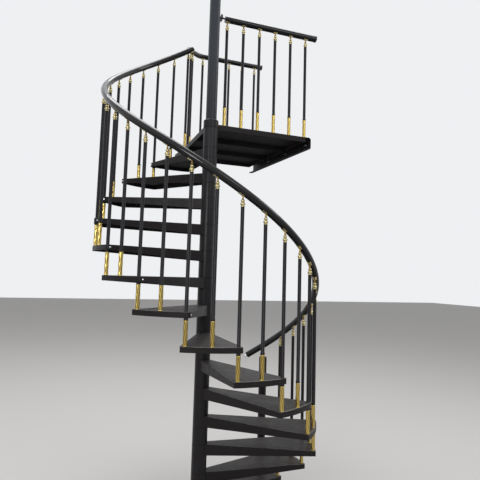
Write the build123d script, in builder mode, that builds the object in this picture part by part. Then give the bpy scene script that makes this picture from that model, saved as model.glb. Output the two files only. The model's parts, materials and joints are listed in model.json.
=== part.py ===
from build123d import *
from math import atan, cos, degrees, pi, radians, sin, sqrt
import os

# Spiral stair with a round handrail, thin balusters and a square landing at the top.
# The origin is on the column's axis at ground level. +X runs to the wall beside the
# landing, +Y away from the side that the stair is seen from, and +Z is up.
# Seen from above the stair climbs clockwise.

# Climb
rise = 195
tread_count = 14
treads_per_turn = 16
landing_angle = 86

# Column
pole_radius = 41.3
pole_top = 4040
pole_fit = 0.3
hub_radius = 54
hub_height = 40
hub_edge = 2
cap_thickness = 8
cap_lip = 4

# Foot of the column
flange_radius = 130
flange_thickness = 12
flange_collar_radius = 62
flange_collar_height = 45
flange_bolt_circle = 95
flange_bolt_radius = 7
flange_bolt_count = 4

# Treads
baluster_circle = 800
tread_edge_inset = 18
tread_side_inset = 28
tread_plate = 4
tread_rim_depth = 34
tread_rim_wall = 3
tread_front_corner = 18
tread_back_corner = 8
tread_bush_wall = 4

# Balusters, the bright sleeves at their feet and the turned connectors under the rail
baluster_radius = 11.5
baluster_fit = 0.3
baluster_collar_wall = 2
baluster_collar_height = 14
tread_hole_fit = 0.7
sleeve_wall = 0.9
sleeve_sides = 6
sleeve_twist = 150
sleeve_steps = 10
connector_height = 66
connector_foot_wall = 1.5
connector_ball_wall = 4
connector_bud_radius = 11.5
connector_neck_radius = 7.5
connector_pin_radius = 5
saddle_length = 36
saddle_thickness = 3
saddle_spread = 32

# Handrail
rail_radius = 25
rail_fit = 0.3
rail_over_tread = 890
rail_lead = 0.1
rail_cap_length = 4
rail_cap_lip = 1
rail_knob_radius = 10
rail_knob_neck = 6
rail_knob_rise = 8

# Start post under the rail's lower end
newel_radius = 32
newel_fit = 1
newel_step = 0.85
newel_foot_radius = 57
newel_foot_thickness = 8
newel_shoulder = 4

# Landing
landing_near = 15
landing_far = 1160
landing_right = 880
landing_left = 40
landing_lead_inset = 22
landing_plate = 4
landing_rim_depth = 42
landing_rim_wall = 3
landing_panels = 3
landing_hub_radius = 57
landing_hub_rise = 20
landing_hub_edge = 7
wall_beam_depth = 100
wall_beam_width = 50
wall_beam_wall = 5
wall_beam_corner = 20
wall_bolt_radius = 7
wall_bolt_first = 85
wall_bolt_spacing = 355

# Guards on the landing
guard_spacing = 141.5
guard_inset = 25
near_guard_first = 120
near_guard_count = 6
near_rail_height = 845
near_rail_start = 102
far_guard_first = 278
far_guard_count = 5
far_guard_inset = 30
far_rail_height = 1000
rail_past_beam = 45
wall_rose_radius = 28
wall_rose_thickness = 4
side_post_setback = (4, 107)
side_post_rail = 938
corner_post_share = 0.37
far_rail_turn = 240
far_rail_bend = 90
bracket_plate_place = 70
bracket_plate_radius = 30
bracket_plate_thickness = 6
bracket_rod_radius = 6.5

# What follows from the sizes above
landing_top = rise * (tread_count + 1)
step_angle = 360 / treads_per_turn
half_step = step_angle / 2
tread_radius = baluster_circle + tread_edge_inset
newel_angle = landing_angle + step_angle * tread_count - half_step * newel_step
rail_climb = rise / 2
rail_pitch = rail_climb * 360 / half_step
rail_slope = degrees(atan(rail_pitch / (2 * pi * baluster_circle)))
rail_axis_lift = rail_radius / cos(radians(rail_slope))
last_baluster = 2 * tread_count
sleeve_height = rise - tread_rim_depth - baluster_collar_height
sleeve_radius = (baluster_radius + baluster_fit + sleeve_wall) / cos(pi / sleeve_sides)
collar_radius = baluster_radius + baluster_collar_wall
tread_hole_radius = baluster_radius + tread_hole_fit
tread_bush_radius = tread_hole_radius + tread_bush_wall


def baluster_angle(index):
    return landing_angle + half_step * (last_baluster - index)


def rail_underside(index):
    return rise + rail_over_tread + rail_climb * index


def tread_top(number):
    return rise * number


def on_circle(radius, angle, height):
    return Vector(radius * cos(radians(angle)), radius * sin(radians(angle)), height)


def climb_direction(angle):
    slope = radians(rail_slope)
    flat = cos(slope)
    return Vector(flat * sin(radians(angle)), -flat * cos(radians(angle)), sin(slope))


# Round foot plate with four bolt holes and a collar round the column
with BuildPart() as base_flange:
    Cylinder(flange_radius, flange_thickness, align=(Align.CENTER, Align.CENTER, Align.MIN))
    chamfer(base_flange.edges().group_by(Axis.Z)[-1], 3)
    with BuildSketch(Plane.XY.offset(flange_thickness)):
        Circle(flange_collar_radius)
    extrude(amount=flange_collar_height - flange_thickness)
    fillet(base_flange.edges().group_by(Axis.Z)[-1], 4)
    with BuildSketch(Plane.XY):
        Circle(pole_radius + pole_fit)
    extrude(amount=flange_collar_height, mode=Mode.SUBTRACT)
    with BuildSketch(Plane.XY):
        with PolarLocations(flange_bolt_circle, flange_bolt_count, start_angle=45):
            Circle(flange_bolt_radius)
    extrude(amount=flange_thickness, mode=Mode.SUBTRACT)
base_flange.part.label = "base_flange"

# Pole that everything is threaded on
with BuildPart() as centre_pole:
    Cylinder(pole_radius, pole_top, align=(Align.CENTER, Align.CENTER, Align.MIN))
centre_pole.part.label = "centre_pole"

# Cap on the pole's top end
with BuildPart() as pole_cap:
    with BuildSketch(Plane.XY.offset(pole_top)):
        Circle(pole_radius + cap_lip)
    extrude(amount=cap_thickness)
    fillet(pole_cap.edges().group_by(Axis.Z)[-1], cap_thickness / 2)
pole_cap.part.label = "pole_cap"

# Spacer rings between the treads' hubs, with small chamfers that show as joints
spacer_levels = [(flange_collar_height, tread_top(1) - hub_height)]
for number in range(1, tread_count):
    spacer_levels.append((tread_top(number), tread_top(number + 1) - hub_height))
spacer_levels.append((tread_top(tread_count), landing_top - landing_rim_depth))
with BuildPart() as column_spacers:
    for low, high in spacer_levels:
        with BuildSketch(Plane.XZ):
            with BuildLine():
                Polyline(
                    (pole_radius + pole_fit, low),
                    (hub_radius - hub_edge, low),
                    (hub_radius, low + hub_edge),
                    (hub_radius, high - hub_edge),
                    (hub_radius - hub_edge, high),
                    (pole_radius + pole_fit, high),
                    close=True,
                )
            make_face()
        revolve(axis=Axis.Z)
column_spacers.part.label = "column_spacers"


def tread_plan(inwards):
    """A tread's plan with its middle line on X, its front corner at the larger Y."""
    side = tread_side_inset - inwards
    outer = tread_radius - inwards
    reach = sqrt(outer**2 - side**2)
    ray = radians(half_step)
    far = (reach * cos(ray) - side * sin(ray), reach * sin(ray) + side * cos(ray))
    root = (-side * sin(ray), side * cos(ray))
    with BuildSketch() as plan:
        with BuildLine():
            Polyline((far[0], -far[1]), (root[0], -root[1]), root, far)
            ThreePointArc(far, (outer, 0), (far[0], -far[1]))
        make_face()
        fillet(plan.vertices().sort_by(Axis.Y)[-1], tread_front_corner - inwards)
        fillet(plan.vertices().sort_by(Axis.Y)[0], tread_back_corner - inwards)
    return plan.sketch


tread_outside = tread_plan(0)
tread_inside = tread_plan(tread_rim_wall)
treads = []
for number in range(1, tread_count + 1):
    middle_angle = baluster_angle(2 * number - 1)
    deck = Plane(
        origin=(0, 0, tread_top(number)),
        x_dir=on_circle(1, middle_angle, 0),
        z_dir=(0, 0, 1),
    )
    # The stair climbs clockwise, so the front corner lies at +half_step in the tread's
    # own plan. The baluster of the tread below passes through a bush there, which
    # stands on that baluster's collar.
    front_corner = (
        baluster_circle * cos(radians(half_step)),
        baluster_circle * sin(radians(half_step)),
    )
    newel_turn = newel_angle - middle_angle
    newel_place = (
        baluster_circle * cos(radians(newel_turn)),
        baluster_circle * sin(radians(newel_turn)),
    )
    with BuildPart() as tread:
        with BuildSketch(deck.offset(-tread_rim_depth)):
            add(tread_outside)
            add(tread_inside, mode=Mode.SUBTRACT)
        extrude(amount=tread_rim_depth - tread_plate)
        with BuildSketch(deck.offset(-tread_plate)):
            add(tread_outside)
        extrude(amount=tread_plate)
        with BuildSketch(deck.offset(-hub_height)):
            Circle(hub_radius)
        extrude(amount=hub_height)
        with BuildSketch(deck.offset(-hub_height)):
            Circle(pole_radius + pole_fit)
        extrude(amount=hub_height, mode=Mode.SUBTRACT)
        if number == 1:
            with BuildSketch(deck.offset(-tread_rim_depth)):
                with Locations(newel_place):
                    Circle(newel_radius + newel_fit)
            extrude(amount=tread_rim_depth, mode=Mode.SUBTRACT)
        else:
            with BuildSketch(deck.offset(-tread_rim_depth)):
                with Locations(front_corner):
                    Circle(tread_bush_radius)
            extrude(amount=tread_rim_depth)
            with BuildSketch(deck.offset(-tread_rim_depth)):
                with Locations(front_corner):
                    Circle(tread_hole_radius)
            extrude(amount=tread_rim_depth, mode=Mode.SUBTRACT)
    tread.part.label = f"tread_{number:02d}"
    treads.append(tread.part)

# Landing collar on the pole, chamfered where it stands above the deck
with BuildPart() as landing_hub:
    with BuildSketch(Plane.XZ):
        with BuildLine():
            Polyline(
                (pole_radius + pole_fit, landing_top - landing_rim_depth),
                (landing_hub_radius, landing_top - landing_rim_depth),
                (landing_hub_radius, landing_top + landing_hub_rise - landing_hub_edge),
                (landing_hub_radius - landing_hub_edge, landing_top + landing_hub_rise),
                (pole_radius + pole_fit, landing_top + landing_hub_rise),
                close=True,
            )
        make_face()
    revolve(axis=Axis.Z)
landing_hub.part.label = "landing_hub"

# The landing is three folded pans side by side, cut from one outline. Its leading edge
# runs out from the column beside the last baluster of the flight, then along the left.
lead_direction = on_circle(1, landing_angle, 0)
lead_x = -landing_lead_inset * sin(radians(landing_angle))
lead_y = landing_lead_inset * cos(radians(landing_angle))
beam_inner = landing_right - wall_beam_width
last_place = on_circle(baluster_circle, landing_angle, 0)
lead_end = last_place.Y + tread_edge_inset


def lead_edge_at(depth):
    """The place on the leading edge's line at this distance back from the column."""
    along = (depth - lead_y) / lead_direction.Y
    return (lead_x + along * lead_direction.X, depth)


with BuildSketch() as landing_outline:
    with BuildLine():
        Polyline(
            lead_edge_at(landing_near),
            (beam_inner, landing_near),
            (beam_inner, landing_far),
            (landing_left, landing_far),
            (landing_left, lead_end),
            lead_edge_at(lead_end),
            close=True,
        )
    make_face()
panel_depth = (landing_far - landing_near) / landing_panels
landing_underside = Plane.XY.offset(landing_top - landing_rim_depth)
landing_panel_parts = []
for index, name in enumerate(("near", "middle", "far")):
    with BuildSketch() as band:
        with Locations((0, landing_near + panel_depth * (index + 0.5))):
            Rectangle(4 * baluster_circle, panel_depth)
        add(landing_outline.sketch, mode=Mode.INTERSECT)
    with BuildPart() as panel:
        with BuildSketch(landing_underside):
            add(band.sketch)
        extrude(amount=landing_rim_depth)
        with BuildSketch(landing_underside):
            add(band.sketch)
            offset(amount=-landing_rim_wall, kind=Kind.INTERSECTION)
        extrude(amount=landing_rim_depth - landing_plate, mode=Mode.SUBTRACT)
        with BuildSketch(landing_underside):
            Circle(landing_hub_radius + pole_fit)
            with Locations((last_place.X, last_place.Y)):
                Circle(tread_hole_radius)
        extrude(amount=landing_rim_depth, mode=Mode.SUBTRACT)
    panel.part.label = f"landing_panel_{name}"
    landing_panel_parts.append(panel.part)

# Deep edge beam against the wall: a channel with rounded bends and three bolt holes
with BuildPart() as landing_wall_beam:
    with BuildSketch(Plane.XZ.offset(-landing_near)):
        with BuildLine() as channel:
            FilletPolyline(
                (beam_inner, landing_top),
                (landing_right, landing_top),
                (landing_right, landing_top - wall_beam_depth),
                (beam_inner, landing_top - wall_beam_depth),
                radius=wall_beam_corner,
            )
            offset(amount=-wall_beam_wall, side=Side.RIGHT)
        make_face()
    extrude(amount=-(landing_far - landing_near))
    with BuildSketch(Plane.YZ.offset(landing_right)):
        for index in range(landing_panels):
            with Locations((wall_bolt_first + wall_bolt_spacing * index, landing_top - wall_beam_depth / 2)):
                Circle(wall_bolt_radius)
    extrude(amount=-wall_beam_wall, mode=Mode.SUBTRACT)
landing_wall_beam.part.label = "landing_wall_beam"

# Handrail: one climb along a helix, in three lengths that meet end to end
rail_start = -rail_lead
rail_joints = [rail_start, 9, 18.5, last_baluster]
side_place = last_place + Vector(*side_post_setback)
lead_out = side_place + Vector(0, 0, landing_top + side_post_rail + rail_radius)
peak = on_circle(baluster_circle, landing_angle, rail_underside(last_baluster) + rail_axis_lift)
turn_in = climb_direction(landing_angle)
turn_out = (lead_out - peak).normalized()
mitre = Plane(origin=peak, z_dir=turn_in + turn_out)
handrails = []
for index, name in enumerate(("lower", "middle", "upper")):
    begin = rail_joints[index]
    end = rail_joints[index + 1]
    overrun = 0.5 if name == "upper" else 0
    start_plane = Plane(
        origin=(0, 0, rail_underside(begin) + rail_axis_lift),
        x_dir=on_circle(1, baluster_angle(begin), 0),
        z_dir=(0, 0, 1),
    )
    with BuildPart() as handrail:
        climb = Helix(
            rail_pitch, rail_climb * (end + overrun - begin), baluster_circle, lefthand=True, mode=Mode.PRIVATE
        )
        with BuildLine() as path:
            add(start_plane.location * climb)
        with BuildSketch(Plane(origin=path.line @ 0, z_dir=path.line % 0)):
            Circle(rail_radius)
        sweep(path=path.line, is_frenet=True)
        if name == "upper":
            split(bisect_by=mitre, keep=Keep.BOTTOM)
    handrail.part.label = f"handrail_{name}"
    handrails.append(handrail.part)

# Plug in the rail's lower end, with a small bright ball on it
rail_foot = on_circle(baluster_circle, baluster_angle(rail_start), rail_underside(rail_start) + rail_axis_lift)
rail_foot_plane = Plane(origin=rail_foot, z_dir=climb_direction(baluster_angle(rail_start)) * -1)
with BuildPart() as rail_end_cap:
    with BuildSketch(rail_foot_plane):
        Circle(rail_radius + rail_cap_lip)
    extrude(amount=rail_cap_length)
    cap_end = rail_end_cap.faces().filter_by(GeomType.PLANE).sort_by_distance(rail_foot)[-1]
    chamfer(cap_end.edges(), rail_cap_length / 2)
    with BuildSketch(rail_foot_plane):
        Circle(rail_knob_neck)
    extrude(amount=rail_cap_length + rail_knob_rise)
    with Locations(rail_foot_plane.offset(rail_cap_length + rail_knob_rise)):
        Sphere(rail_knob_radius)
rail_end_cap.part.label = "rail_end_cap"

# Rail round the landing's far side: up from the mitred peak, round the corner, to the wall
rail_wall = landing_right + rail_past_beam
far_line = landing_far - far_guard_inset
far_axis = landing_top + far_rail_height + rail_radius
far_turn = Vector(far_rail_turn, far_line, far_axis)
corner_post = lead_out + (far_turn - lead_out) * corner_post_share
with BuildLine() as far_path:
    FilletPolyline(
        peak - turn_out * (2 * rail_radius),
        lead_out,
        far_turn,
        Vector(rail_wall, far_line, far_axis),
        radius=far_rail_bend,
    )
far_start = Plane(origin=far_path.line @ 0, z_dir=far_path.line % 0)
with BuildPart() as far_rail:
    with BuildSketch(far_start):
        Circle(rail_radius)
    sweep(path=far_path.line)
    split(bisect_by=mitre, keep=Keep.TOP)
    with BuildSketch(Plane.YZ.offset(rail_wall - wall_rose_thickness)):
        with Locations((far_line, far_axis)):
            Circle(wall_rose_radius)
    extrude(amount=wall_rose_thickness)
far_rail.part.label = "far_rail"

# The space that the same rail needs, which the connectors under it are cut back to
with BuildPart() as far_rail_room:
    with BuildSketch(far_start):
        Circle(rail_radius + rail_fit)
    sweep(path=far_path.line)

# Rail on the near side, from beside the column to the wall
near_line = landing_near + guard_inset
near_axis = landing_top + near_rail_height + rail_radius
with BuildPart() as near_rail:
    with BuildSketch(Plane.YZ.offset(near_rail_start)):
        with Locations((near_line, near_axis)):
            Circle(rail_radius)
    extrude(amount=rail_wall - near_rail_start)
    with BuildSketch(Plane.YZ.offset(rail_wall - wall_rose_thickness)):
        with Locations((near_line, near_axis)):
            Circle(wall_rose_radius)
    extrude(amount=wall_rose_thickness)
near_rail.part.label = "near_rail"

# Rod and round plate that tie the near rail to the column
rod_line = near_line - bracket_rod_radius
with BuildPart() as pole_bracket:
    with BuildSketch(Plane.YZ.offset(bracket_plate_place)):
        with Locations((rod_line, near_axis)):
            Circle(bracket_plate_radius)
    extrude(amount=-bracket_plate_thickness)
    chamfer(pole_bracket.edges().group_by(Axis.X)[-1], bracket_plate_thickness / 3)
    with BuildSketch(Plane.YZ):
        with Locations((rod_line, near_axis)):
            Circle(bracket_rod_radius)
    extrude(amount=near_rail_start)
    with BuildSketch(Plane.XY.offset(near_axis - bracket_plate_radius)):
        Circle(pole_radius + pole_fit)
    extrude(amount=2 * bracket_plate_radius, mode=Mode.SUBTRACT)
pole_bracket.part.label = "pole_bracket"

# Heavy start post from the ground, with a foot and a shoulder under its connector
newel_place = on_circle(baluster_circle, newel_angle, 0)
newel_height = rail_underside(newel_step) - connector_height
with BuildPart() as start_newel:
    with BuildSketch(Plane(origin=newel_place)):
        Circle(newel_foot_radius)
    extrude(amount=newel_foot_thickness)
    fillet(start_newel.edges().group_by(Axis.Z)[-1], newel_foot_thickness / 2)
    with BuildSketch(Plane(origin=newel_place)):
        Circle(newel_radius)
    extrude(amount=newel_height)
    chamfer(start_newel.edges().group_by(Axis.Z)[-1], newel_shoulder)
start_newel.part.label = "start_newel"

# One baluster of each length, one sleeve and one connector of each kind, all standing
# on their own origins, then set out round the flight and along the landing
corner_length = rail_underside(2) - tread_top(1) - connector_height
middle_length = rail_underside(1) - tread_top(1) - connector_height


def baluster_body(length):
    with BuildPart() as body:
        Cylinder(baluster_radius, length, align=(Align.CENTER, Align.CENTER, Align.MIN))
        with Locations((0, 0, sleeve_height)):
            Cylinder(collar_radius, baluster_collar_height, align=(Align.CENTER, Align.CENTER, Align.MIN))
    return body.part


# Six-sided sleeve, twisted as it rises
with BuildPart() as sleeve:
    for step in range(sleeve_steps + 1):
        share = step / sleeve_steps
        with BuildSketch(Plane.XY.offset(sleeve_height * share)):
            RegularPolygon(sleeve_radius, sleeve_sides, rotation=sleeve_twist * share)
    loft(ruled=True)
    with BuildSketch(Plane.XY):
        Circle(baluster_radius + baluster_fit)
    extrude(amount=sleeve_height, mode=Mode.SUBTRACT)


def connector_body(slope):
    """Turned head: a foot, a large ball, a bud and a pin, with a saddle along the rail."""
    foot = baluster_radius + connector_foot_wall
    ball = baluster_radius + connector_ball_wall
    bud = connector_bud_radius
    neck = connector_neck_radius
    pin = connector_pin_radius
    profile = (
        (foot, 0),
        (foot, 0.07),
        (neck + 2, 0.11),
        (ball, 0.2),
        (ball, 0.3),
        (neck, 0.43),
        (bud, 0.52),
        (bud, 0.62),
        (pin, 0.74),
    )
    turned = [(radius, connector_height * share) for radius, share in profile]
    axis_height = connector_height + rail_radius / cos(radians(slope))
    along = Vector(cos(radians(slope)), 0, sin(radians(slope)))
    across = Plane(origin=(0, 0, axis_height), x_dir=(0, 1, 0), z_dir=along)
    with BuildPart() as body:
        with BuildSketch(Plane.XZ):
            with BuildLine():
                Polyline((0, 0), *turned, (pin, axis_height), (0, axis_height), close=True)
            make_face()
        revolve(axis=Axis.Z)
        with BuildSketch(across.offset(-saddle_length / 2)):
            Circle(rail_radius + rail_fit + saddle_thickness)
            with BuildLine():
                reach = 2 * rail_radius
                Polyline(
                    (0, 0),
                    (reach * sin(radians(saddle_spread)), -reach * cos(radians(saddle_spread))),
                    (0, -2 * reach),
                    (-reach * sin(radians(saddle_spread)), -reach * cos(radians(saddle_spread))),
                    close=True,
                )
            make_face(mode=Mode.INTERSECT)
        extrude(amount=saddle_length)
        with BuildSketch(across):
            Circle(rail_radius + rail_fit)
        extrude(amount=saddle_length, both=True, mode=Mode.SUBTRACT)
    return body.part.solids().sort_by(Axis.Z)[0]


spiral_connector = connector_body(rail_slope)
level_connector = connector_body(0)
corner_baluster = baluster_body(corner_length)
middle_baluster = baluster_body(middle_length)


def foot_place(index):
    """Where a baluster of the flight stands: on its tread, turned to face up the climb."""
    angle = baluster_angle(index)
    standing = on_circle(baluster_circle, angle, tread_top((index + 1) // 2))
    return Location(standing, (0, 0, angle - 90))


def head_place(index):
    angle = baluster_angle(index)
    head = on_circle(baluster_circle, angle, rail_underside(index) - connector_height)
    return Location(head, (0, 0, angle - 90))


flight_groups = {
    "lower": range(2, 11),
    "middle": range(11, 20),
    "upper": range(20, last_baluster + 1),
}
rows = []
for name, indices in flight_groups.items():
    heads = [newel_step, *indices] if name == "lower" else indices
    with BuildPart() as balusters:
        for index in indices:
            with Locations(foot_place(index)):
                add(corner_baluster if index % 2 == 0 else middle_baluster)
    balusters.part.label = f"balusters_{name}"
    rows.append(balusters.part)
    with BuildPart() as sleeves:
        for index in indices:
            with Locations(foot_place(index)):
                add(sleeve.part)
    sleeves.part.label = f"sleeves_{name}"
    rows.append(sleeves.part)
    with BuildPart() as connectors:
        for index in heads:
            with Locations(head_place(index)):
                add(spiral_connector)
        if name == "upper":
            add(far_rail_room.part, mode=Mode.SUBTRACT)
    connectors.part.label = f"connectors_{name}"
    rows.append(connectors.part)

near_posts = [
    (near_guard_first + guard_spacing * index, near_line, near_rail_height) for index in range(near_guard_count)
]
far_posts = [
    (side_place.X, side_place.Y, side_post_rail),
    (corner_post.X, corner_post.Y, corner_post.Z - landing_top - rail_radius),
]
far_posts += [(far_guard_first + guard_spacing * index, far_line, far_rail_height) for index in range(far_guard_count)]

for name, posts in (("near", near_posts), ("far", far_posts)):
    with BuildPart() as balusters:
        for x, y, height in posts:
            with Locations((x, y, landing_top)):
                add(baluster_body(height - connector_height))
    balusters.part.label = f"balusters_{name}"
    rows.append(balusters.part)

with BuildPart() as sleeves_landing:
    for x, y, height in near_posts + far_posts:
        with Locations((x, y, landing_top)):
            add(sleeve.part)
sleeves_landing.part.label = "sleeves_landing"

with BuildPart() as connectors_landing:
    for x, y, height in near_posts + far_posts:
        with Locations((x, y, landing_top + height - connector_height)):
            add(level_connector)
    add(far_rail_room.part, mode=Mode.SUBTRACT)
connectors_landing.part.label = "connectors_landing"

pieces = [
    base_flange.part,
    centre_pole.part,
    pole_cap.part,
    column_spacers.part,
    *treads,
    landing_hub.part,
    *landing_panel_parts,
    landing_wall_beam.part,
    *handrails,
    rail_end_cap.part,
    far_rail.part,
    near_rail.part,
    pole_bracket.part,
    start_newel.part,
    *rows,
    sleeves_landing.part,
    connectors_landing.part,
]
os.makedirs("parts", exist_ok=True)
for piece in pieces:
    export_step(piece, f"parts/{piece.label}.step")
    print(piece.label, len(piece.solids()), round(piece.volume / 1e6, 3))
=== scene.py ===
import json
import math

import bmesh
import bpy
from mathutils import Matrix, Vector


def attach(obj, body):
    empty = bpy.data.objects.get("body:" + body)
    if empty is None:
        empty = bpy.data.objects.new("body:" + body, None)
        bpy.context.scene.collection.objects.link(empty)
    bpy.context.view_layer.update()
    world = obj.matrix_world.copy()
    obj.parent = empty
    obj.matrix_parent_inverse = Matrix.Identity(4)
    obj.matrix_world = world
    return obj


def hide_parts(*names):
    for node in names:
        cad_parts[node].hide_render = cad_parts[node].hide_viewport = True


# Black outdoor spiral stair with gilt baluster sleeves and a square landing, in metres.
# The steelwork is the CAD model's. This script rounds its edges, deepens the treads' rims,
# turns the gilt parts, adds the screws and gives everything its finish.

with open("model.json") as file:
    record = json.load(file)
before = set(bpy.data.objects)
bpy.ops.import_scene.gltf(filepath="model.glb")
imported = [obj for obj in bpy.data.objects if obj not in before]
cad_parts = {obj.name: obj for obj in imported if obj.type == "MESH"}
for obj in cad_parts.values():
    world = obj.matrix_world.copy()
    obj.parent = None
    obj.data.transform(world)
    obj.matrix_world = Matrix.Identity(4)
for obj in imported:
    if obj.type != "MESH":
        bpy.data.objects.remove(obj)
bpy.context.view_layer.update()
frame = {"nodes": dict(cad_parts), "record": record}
scene = bpy.context.scene
scene.view_settings.view_transform = "Standard"
slotOf = {entry["node"]: entry["material_slot"] for entry in frame["record"]["subparts"]}
print("frame loaded:", len(frame["nodes"]), "nodes")

# camera: where the stair is seen from, standing, looking slightly up
view = {
    "place": (-1.2448, -3.6156, 1.7845),
    "turnRight": 21.273,  # degrees from +Y towards +X
    "lookUp": 6.157,
    "lean": 1.823,
    "lensPixels": 515.14,  # focal length on a frame 480 pixels wide
    "frameWidth": 480,
    "middle": (227.98, 218.74),  # the lens axis in that frame
    "sensor": 36.0,
    "farthest": 200,
}


def setUpCamera():
    turn = math.radians(-view["turnRight"])
    up = math.radians(view["lookUp"])
    lean = math.radians(view["lean"])
    forward = Vector((-math.sin(turn) * math.cos(up), math.cos(turn) * math.cos(up), math.sin(up)))
    levelRight = Vector((math.cos(turn), math.sin(turn), 0))
    levelUp = levelRight.cross(forward)
    right = math.cos(lean) * levelRight + math.sin(lean) * levelUp
    upward = -math.sin(lean) * levelRight + math.cos(lean) * levelUp
    turned = Matrix((right, upward, -forward)).transposed().to_4x4()
    camera = bpy.data.objects.new("standingView", bpy.data.cameras.new("standingView"))
    scene.collection.objects.link(camera)
    camera.matrix_world = Matrix.Translation(view["place"]) @ turned
    width = view["frameWidth"]
    camera.data.sensor_width = view["sensor"]
    camera.data.lens = view["lensPixels"] * view["sensor"] / width
    camera.data.shift_x = (width / 2 - view["middle"][0]) / width
    camera.data.shift_y = (view["middle"][1] - width / 2) / width
    camera.data.clip_end = view["farthest"]
    scene.camera = camera


setUpCamera()


# values are numbers or the outputs of other nodes
def mathNode(nodes, links, operation, *values):
    node = nodes.new("ShaderNodeMath")
    node.operation = operation
    for socket, value in zip(node.inputs, values):
        if isinstance(value, (int, float)):
            socket.default_value = value
        else:
            links.new(value, socket)
    return node.outputs["Value"]


# stage: pale floor, pale surroundings, a broad lamp above and behind, weaker ones in front
stage = {
    "floorSize": 60.0,
    "floorHeight": -0.001,
    "floorRoughness": 0.9,
    "floorColour": (0.62, 0.61, 0.6, 1),
    "skyColour": (0.86, 0.87, 0.89, 1),
    "skyLight": 0.4,
    "topLamp": {"place": (-0.2, 1.8, 9.4), "aim": (0.0, 0.0, 2.0), "size": 6.0, "power": 500},
    "leftLamp": {"place": (-4.2, -5.2, 3.0), "aim": (0.0, 0.0, 2.0), "size": 1.8, "power": 100},
    "rightLamp": {"place": (1.1, -6.8, 5.0), "aim": (0.0, 0.0, 2.2), "size": 2.4, "power": 45},
    "sideLamp": {"place": (6.0, -1.5, 6.1), "aim": (0.0, -0.6, 2.4), "size": 1.8, "power": 60},
}


def addLamp(name, lamp):
    light = bpy.data.lights.new(name, "AREA")
    light.shape = "SQUARE"
    light.size = lamp["size"]
    light.energy = lamp["power"]
    holder = bpy.data.objects.new(name, light)
    scene.collection.objects.link(holder)
    holder.location = lamp["place"]
    aim = Vector(lamp["aim"]) - Vector(lamp["place"])
    holder.rotation_euler = aim.to_track_quat("-Z", "Y").to_euler()


def setUpStage():
    restAll()
    bpy.ops.mesh.primitive_plane_add(size=stage["floorSize"], location=(0, 0, stage["floorHeight"]))
    floor = bpy.context.object
    floor.name = "paleFloor"
    paint = bpy.data.materials.new("paleFloorPaint")
    paint.use_nodes = True
    shader = paint.node_tree.nodes["Principled BSDF"]
    shader.inputs["Base Color"].default_value = stage["floorColour"]
    shader.inputs["Roughness"].default_value = stage["floorRoughness"]
    floor.data.materials.append(paint)
    world = bpy.data.worlds.new("paleRoom")
    world.use_nodes = True
    scene.world = world
    nodes, links = world.node_tree.nodes, world.node_tree.links
    nodes.clear()
    output = nodes.new("ShaderNodeOutputWorld")
    shown = nodes.new("ShaderNodeBackground")
    shown.inputs["Color"].default_value = stage["skyColour"]
    lighting = nodes.new("ShaderNodeBackground")
    lighting.inputs["Color"].default_value = (1, 1, 1, 1)
    lighting.inputs["Strength"].default_value = stage["skyLight"]
    path = nodes.new("ShaderNodeLightPath")
    seen = path.outputs["Is Camera Ray"]
    for ray in ("Is Glossy Ray", "Is Transmission Ray"):  # metal shows the pale background too
        seen = mathNode(nodes, links, "MAXIMUM", seen, path.outputs[ray])
    mix = nodes.new("ShaderNodeMixShader")
    links.new(seen, mix.inputs["Fac"])
    links.new(lighting.outputs["Background"], mix.inputs[1])
    links.new(shown.outputs["Background"], mix.inputs[2])
    links.new(mix.outputs["Shader"], output.inputs["Surface"])
    for name in ("topLamp", "leftLamp", "rightLamp", "sideLamp"):
        addLamp(name, stage[name])


def restAll():
    if bpy.context.mode != "OBJECT":
        bpy.ops.object.mode_set(mode="OBJECT")
    bpy.ops.object.select_all(action="DESELECT")


# leaves only this piece selected and active
def takeUp(piece):
    restAll()
    piece.select_set(True)
    bpy.context.view_layer.objects.active = piece


setUpStage()
print("camera and stage set")

# measures that the small parts share with the CAD model
stair = {
    "rise": 0.195,
    "treads": 14,
    "stepAngle": 22.5,
    "landingAngle": 86.0,
    "circle": 0.8,  # through the balusters
    "railOverTread": 0.89,
    "railRadius": 0.025,
    "railFit": 0.0003,
    "rimDepth": 0.034,
    "sideInset": 0.028,  # from the balusters' line to a tread's long edge
    "headHeight": 0.066,
    "collarHeight": 0.014,
    "newelStep": 0.85,  # where the start post stands, counted along the balusters
}
stair["landingTop"] = stair["rise"] * (stair["treads"] + 1)
stair["lastBaluster"] = 2 * stair["treads"]
stair["sleeveHeight"] = stair["rise"] - stair["rimDepth"] - stair["collarHeight"]
stair["railSlope"] = math.degrees(
    math.atan(stair["rise"] / 2 / (stair["circle"] * math.radians(stair["stepAngle"] / 2)))
)


def balusterAngle(index):
    return stair["landingAngle"] + stair["stepAngle"] / 2 * (stair["lastBaluster"] - index)


def railUnderside(index):
    return stair["rise"] + stair["railOverTread"] + stair["rise"] / 2 * index


def onCircle(radius, angle, height):
    turn = math.radians(angle)
    return Vector((radius * math.cos(turn), radius * math.sin(turn), height))


# the place of an upright part whose own X looks along this angle
def standing(place, facing):
    return Matrix.Translation(place) @ Matrix.Rotation(math.radians(facing), 4, "Z")


# the place of a part whose own Z looks along this direction
def facingOut(place, outward):
    return Matrix.Translation(place) @ Vector(outward).to_track_quat("Z", "Y").to_matrix().to_4x4()


# closes the ring just drawn and the first one, and leaves edit mode
def closeEnds():
    bpy.ops.mesh.edge_face_add()
    bpy.ops.mesh.select_all(action="DESELECT")
    bpy.ops.mesh.select_non_manifold()
    bpy.ops.mesh.edge_face_add()
    bpy.ops.mesh.select_all(action="SELECT")
    bpy.ops.mesh.normals_make_consistent(inside=False)
    bpy.ops.object.mode_set(mode="OBJECT")


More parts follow.
